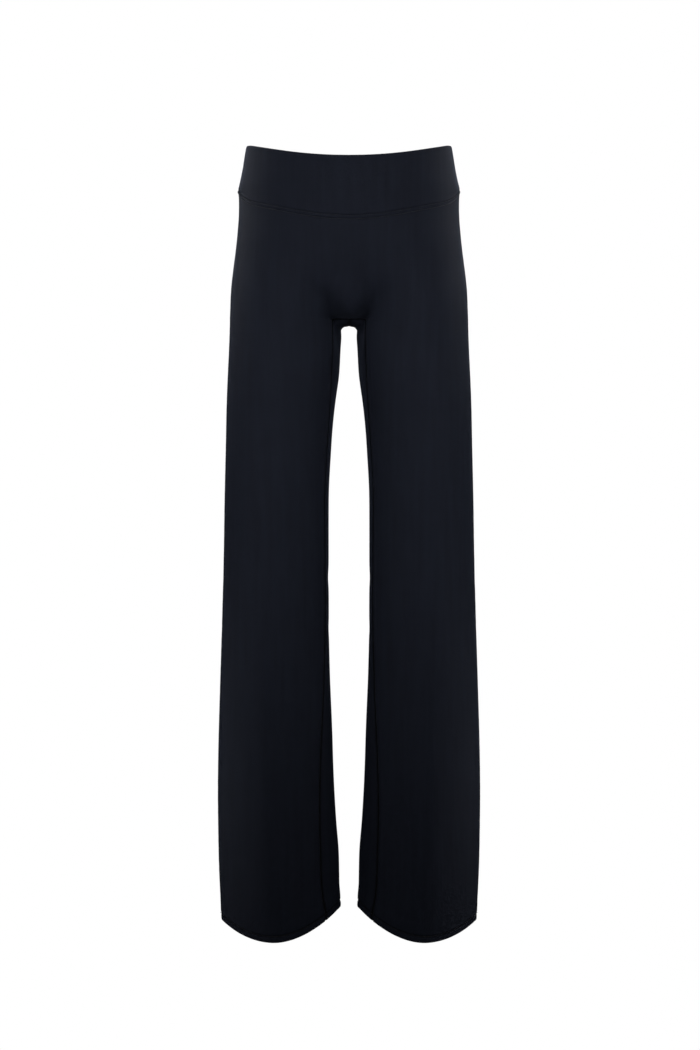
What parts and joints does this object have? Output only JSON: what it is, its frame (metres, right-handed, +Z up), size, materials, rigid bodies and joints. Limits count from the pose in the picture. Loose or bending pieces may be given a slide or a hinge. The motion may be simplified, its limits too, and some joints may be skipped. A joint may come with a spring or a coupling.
{
  "type": "straight-leg knit trousers",
  "caption": "Pull-on straight-leg trousers in dark stretch knit with a wide contoured waistband and inner-leg panels, held open as worn on a general figure.",
  "frame": {"origin": "the middle of the waist opening, level with its side points, where the wearer holds the trousers", "axes": "+Z up out of the waist opening, -Y the wearer's front, +X the wearer's left"},
  "size_m": [0.3594, 0.2186, 1.0674],
  "materials": {
    "waistband_front": "matt smooth stretch knit, very dark navy",
    "waistband_back": "matt smooth stretch knit, very dark navy",
    "front_panel": "matt smooth stretch knit, very dark navy",
    "back_panel_left": "matt smooth stretch knit, very dark navy",
    "back_panel_right": "matt smooth stretch knit, very dark navy",
    "inner_panel_left": "matt smooth stretch knit, very dark navy",
    "inner_panel_right": "matt smooth stretch knit, very dark navy"
  },
  "bodies": {
    "root": {"waistband_front": "waistband_front", "waistband_back": "waistband_back", "front_panel": "front_panel", "back_panel_left": "back_panel_left", "back_panel_right": "back_panel_right", "inner_panel_left": "inner_panel_left", "inner_panel_right": "inner_panel_right"}
  },
  "joints": []
}
